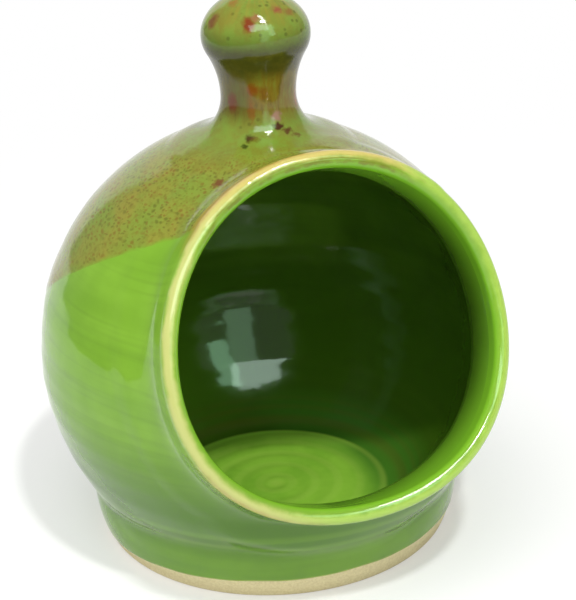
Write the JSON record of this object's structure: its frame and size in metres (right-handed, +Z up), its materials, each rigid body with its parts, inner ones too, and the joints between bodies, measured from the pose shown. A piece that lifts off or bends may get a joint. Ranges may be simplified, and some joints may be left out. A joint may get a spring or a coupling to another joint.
{
  "type": "salt pig",
  "caption": "Round wheel-thrown stoneware salt pig with a wide tilted side mouth, flared rounded lip, turned foot and a necked knob on top.",
  "frame": {"origin": "centre of the foot ring's face, on the turning axis, at the level the pot stands on", "axes": "+Z up along the turning axis, the mouth faces -Y, +X to the right seen from in front of the mouth"},
  "size_m": [0.128, 0.1336, 0.1535],
  "materials": {
    "stoneware": "matte",
    "liner_green": "gloss",
    "apple_green": "gloss",
    "speckled_olive": "gloss"
  },
  "bodies": {
    "root": {"body": "stoneware", "mouth_collar": "stoneware", "knob": "stoneware", "liner_glaze": "liner_green", "outer_glaze": "apple_green", "top_glaze": "speckled_olive"}
  },
  "joints": []
}
